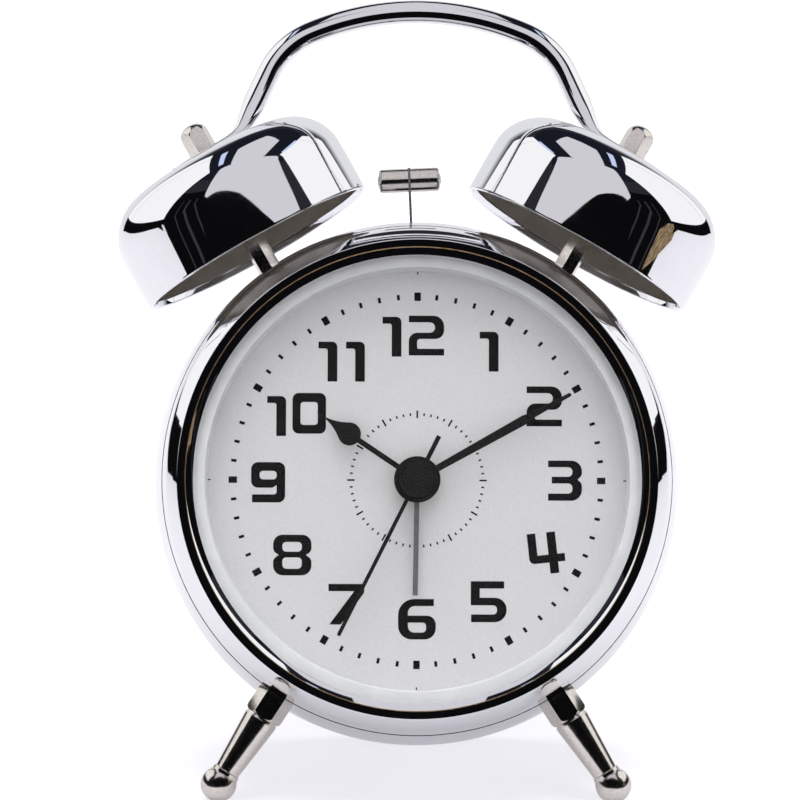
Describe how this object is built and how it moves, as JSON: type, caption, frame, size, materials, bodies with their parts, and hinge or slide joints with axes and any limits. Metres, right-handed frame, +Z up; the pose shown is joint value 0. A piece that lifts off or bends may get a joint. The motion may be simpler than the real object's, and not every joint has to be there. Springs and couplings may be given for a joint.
{
  "type": "twin-bell alarm clock",
  "caption": "Twin-bell alarm clock: chrome drum case on two ball-footed legs, domed glass over a hand dial, striker between two bells under a carrying handle.",
  "frame": {"origin": "middle of the flat land of the heel at the foot of the back cover, on the surface the clock stands on", "axes": "+Z up, +Y to the back, +X to the right seen from the front; the clock leans back 19.4 degrees"},
  "size_m": [0.1272, 0.0873, 0.1555],
  "materials": {
    "chrome": "mirror-bright chrome plating on pressed and turned steel",
    "satin_nickel": "satin nickel plating on turned parts",
    "bell_nickel": "bright plated bell, satin inside",
    "clear_glass": "clear domed glass",
    "pale_ring": "moulded ABS, pale silver lacquer",
    "silver_dial": "satin silver-white lacquered aluminium with black printing",
    "black_lacquer": "black lacquer on stamped hands",
    "grey_lacquer": "grey lacquer on the alarm hand",
    "brass": "turned brass",
    "black_abs": "black moulded ABS, fine spark-eroded texture",
    "zinc_plate": "bright zinc plated steel",
    "spring_steel": "rolled spring steel strip",
    "battery_sleeve": "plain dark printed sleeve without words"
  },
  "bodies": {
    "clock": {"case_shell": "chrome", "bezel_ring": "chrome", "glass_lens": "clear_glass", "dial_surround": "pale_ring", "dial_plate": "silver_dial", "dial_nut": "brass", "movement_housing": "black_abs", "bell_right": "bell_nickel", "bell_left": "bell_nickel", "bell_post_right": "chrome", "bell_post_left": "chrome", "acorn_nut_right": "satin_nickel", "acorn_nut_left": "satin_nickel", "post_lock_nuts": "zinc_plate", "handle": "chrome", "leg_right": "satin_nickel", "leg_left": "satin_nickel", "leg_lock_nuts": "zinc_plate", "striker_frame": "black_abs", "striker_pin": "zinc_plate", "striker_motor": "zinc_plate", "back_cover": "black_abs", "cover_screws": "zinc_plate", "battery": "battery_sleeve", "battery_contact_plate": "zinc_plate", "battery_contact_spring": "spring_steel", "alarm_switch_body": "black_abs"},
    "second_hand": {"second_hand": "black_lacquer", "second_arbor": "brass"},
    "minute_hand": {"minute_hand": "black_lacquer", "minute_tube": "brass"},
    "hour_hand": {"hour_hand": "black_lacquer", "hour_tube": "brass"},
    "alarm_hand": {"alarm_hand": "grey_lacquer", "alarm_tube": "brass"},
    "time_set_knob": {"time_set_knob": "black_abs"},
    "alarm_set_knob": {"alarm_set_knob": "black_abs"},
    "striker": {"striker_lever": "black_abs", "striker_strip": "spring_steel", "hammer_right": "satin_nickel", "hammer_left": "satin_nickel", "hammer_rivet": "zinc_plate"},
    "striker_cam": {"striker_cam": "zinc_plate"},
    "alarm_switch": {"alarm_switch_slider": "black_abs"},
    "battery_door": {"battery_door": "black_abs"}
  },
  "joints": [
    {"name": "second_hand_turn", "type": "hinge", "parent": "clock", "child": "second_hand", "pos_m": [0, -0.02651, 0.06512], "axis": [0, 0.9431, -0.3325], "continuous": true},
    {"name": "minute_hand_turn", "type": "hinge", "parent": "clock", "child": "minute_hand", "pos_m": [0, -0.02557, 0.06478], "axis": [0, 0.9431, -0.3325], "continuous": true},
    {"name": "hour_hand_turn", "type": "hinge", "parent": "clock", "child": "hour_hand", "pos_m": [0, -0.02462, 0.06445], "axis": [0, 0.9431, -0.3325], "continuous": true},
    {"name": "time_knob_turn", "type": "hinge", "parent": "clock", "child": "time_set_knob", "pos_m": [-0.013, 0.01845, 0.05775], "axis": [0, 0.9431, -0.3325], "continuous": true},
    {"name": "alarm_knob_turn", "type": "hinge", "parent": "clock", "child": "alarm_set_knob", "pos_m": [0.013, 0.01845, 0.05775], "axis": [0, 0.9431, -0.3325], "continuous": true},
    {"name": "alarm_hand_turn", "type": "hinge", "parent": "clock", "child": "alarm_hand", "pos_m": [0, -0.02368, 0.06412], "axis": [0, 0.9431, -0.3325], "continuous": true},
    {"name": "striker_swing", "type": "hinge", "parent": "clock", "child": "striker", "pos_m": [0, 0.00322, 0.08433], "axis": [0, 0.9431, -0.3325], "range_deg": [-3.6, 8.8], "stiffness_Nm_per_rad": 0.01},
    {"name": "striker_cam_turn", "type": "hinge", "parent": "clock", "child": "striker_cam", "pos_m": [0.0058, 0.00056, 0.07678], "axis": [0, 0.9431, -0.3325], "continuous": true},
    {"name": "alarm_switch_slide", "type": "slide", "parent": "clock", "child": "alarm_switch", "axis": [0, -0.3325, -0.9431], "range_m": [0, 0.006]},
    {"name": "battery_door_tilt", "type": "hinge", "parent": "clock", "child": "battery_door", "pos_m": [0, 0.0043, 0.02213], "axis": [-1, 0, 0], "range_deg": [0, 105]}
  ],
  "couplings": [
    {"joint": "minute_hand_turn", "follows": "second_hand_turn", "ratio": 0.016667},
    {"joint": "hour_hand_turn", "follows": "second_hand_turn", "ratio": 0.0013889},
    {"joint": "time_knob_turn", "follows": "second_hand_turn", "ratio": -0.05},
    {"joint": "alarm_hand_turn", "follows": "alarm_knob_turn", "ratio": -0.33333}
  ]
}
